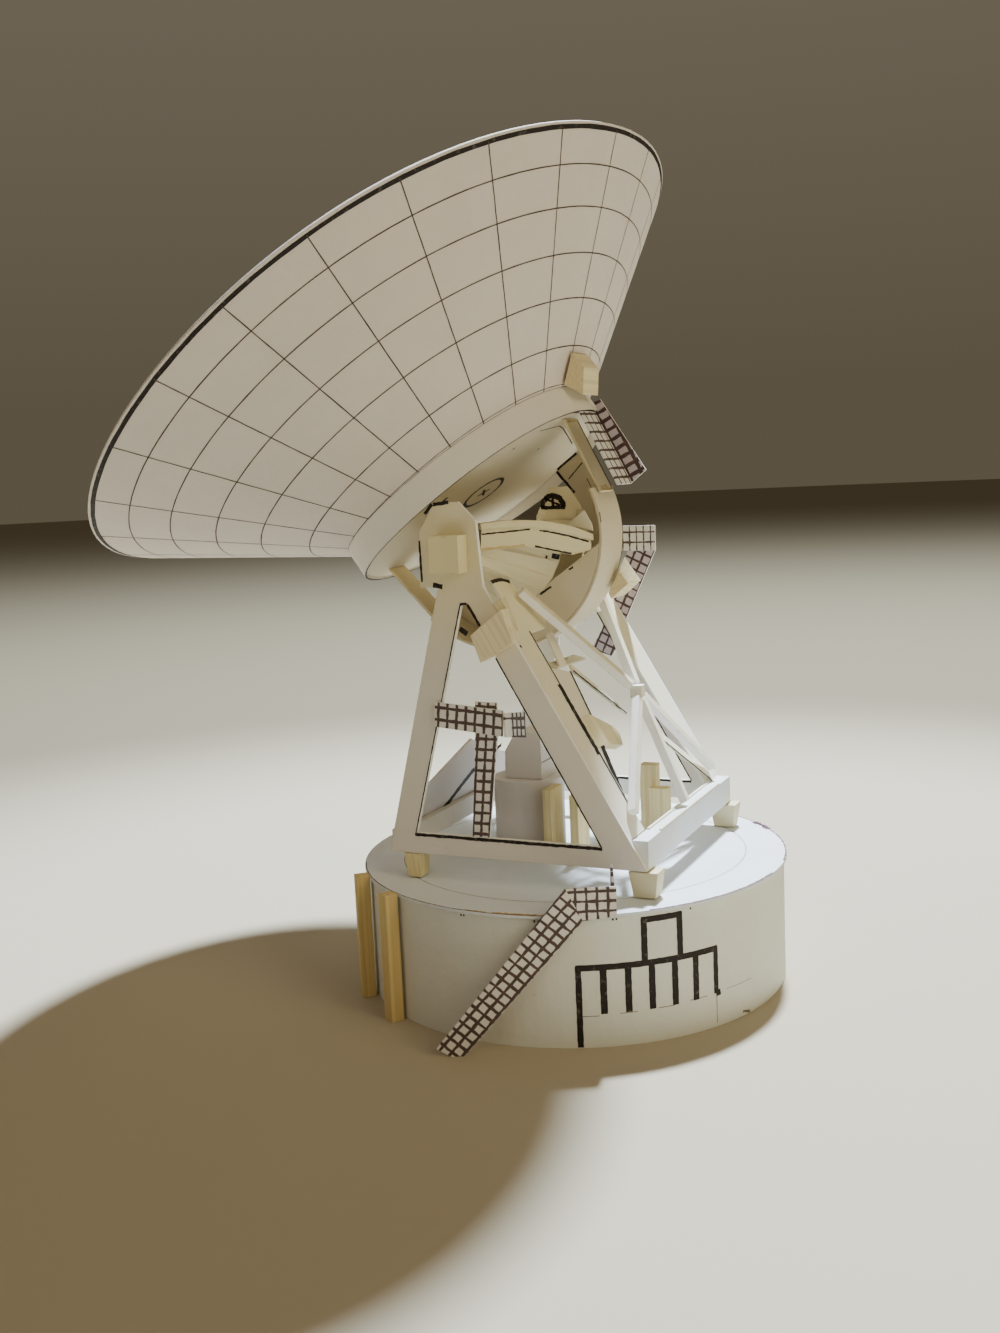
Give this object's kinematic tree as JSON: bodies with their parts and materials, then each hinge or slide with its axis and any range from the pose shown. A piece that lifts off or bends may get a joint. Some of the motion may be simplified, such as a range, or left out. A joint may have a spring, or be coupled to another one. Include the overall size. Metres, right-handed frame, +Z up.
{
  "type": "model radio telescope dish",
  "caption": "Card scale model of a steerable radio telescope: cone-shaped dish on an elevation wheel, carried by an A-frame alidade that turns on a round drum pedestal with a stair.",
  "frame": {"origin": "centre of the pedestal's flat underside", "axes": "+Z up, +X along the elevation axis, -Y the way the dish looks"},
  "size_m": [0.14, 0.136, 0.165],
  "materials": {
    "white_card": "matt",
    "printed_card": "matt, printed with a dark grid",
    "balsa": "raw balsa"
  },
  "bodies": {
    "base": {"landing_side_rail": "printed_card", "pedestal_drum": "white_card", "pedestal_roof_disc": "white_card", "pedestal_stair": "printed_card", "wall_post_rear": "balsa", "wall_post_side": "balsa"},
    "alidade": {"brace_centre": "white_card", "brace_far_lower": "white_card", "brace_far_upper": "white_card", "brace_hub": "white_card", "brace_near_lower": "white_card", "brace_near_upper": "white_card", "drum_post_near": "balsa", "drum_post_side": "balsa", "equipment_post_far": "balsa", "equipment_post_short": "balsa", "far_bearing_box": "white_card", "far_front_foot": "white_card", "far_front_leg": "white_card", "far_platform_rail": "printed_card", "far_rear_foot": "balsa", "far_side_frame": "white_card", "far_stair": "printed_card", "front_bottom_beam": "white_card", "leg_wedge_block": "balsa", "near_bearing_box": "white_card", "near_front_foot": "white_card", "near_front_leg": "white_card", "near_ladder": "printed_card", "near_leg_block": "balsa", "near_leg_block_return": "balsa", "near_rear_foot": "balsa", "near_side_frame": "white_card", "near_walkway": "printed_card", "near_walkway_return": "printed_card", "rear_bottom_beam": "white_card", "rear_panel": "white_card", "waveguide_drum": "white_card", "waveguide_hood": "white_card"},
    "dish": {"collar_back_plate": "white_card", "collar_band": "white_card", "collar_platform_floor": "printed_card", "collar_platform_rail": "printed_card", "cone_wedge_block": "balsa", "far_trunnion": "white_card", "far_wheel_arm": "white_card", "near_trunnion": "white_card", "near_wheel_arm": "white_card", "reflector_floor": "white_card", "reflector_shell": "white_card", "wheel_bar_lower": "white_card", "wheel_bar_upper": "white_card", "wheel_rim": "white_card", "wheel_web_far": "white_card", "wheel_web_near": "white_card", "wheel_wedge_block": "balsa"}
  },
  "joints": [
    {"name": "azimuth", "type": "hinge", "parent": "base", "child": "alidade", "pos_m": [0, 0, 0.0249], "axis": [0, 0, 1], "range_deg": [-180, 180]},
    {"name": "elevation", "type": "hinge", "parent": "alidade", "child": "dish", "pos_m": [0, -0.012, 0.09], "axis": [-1, 0, 0], "range_deg": [-46, 34]}
  ]
}
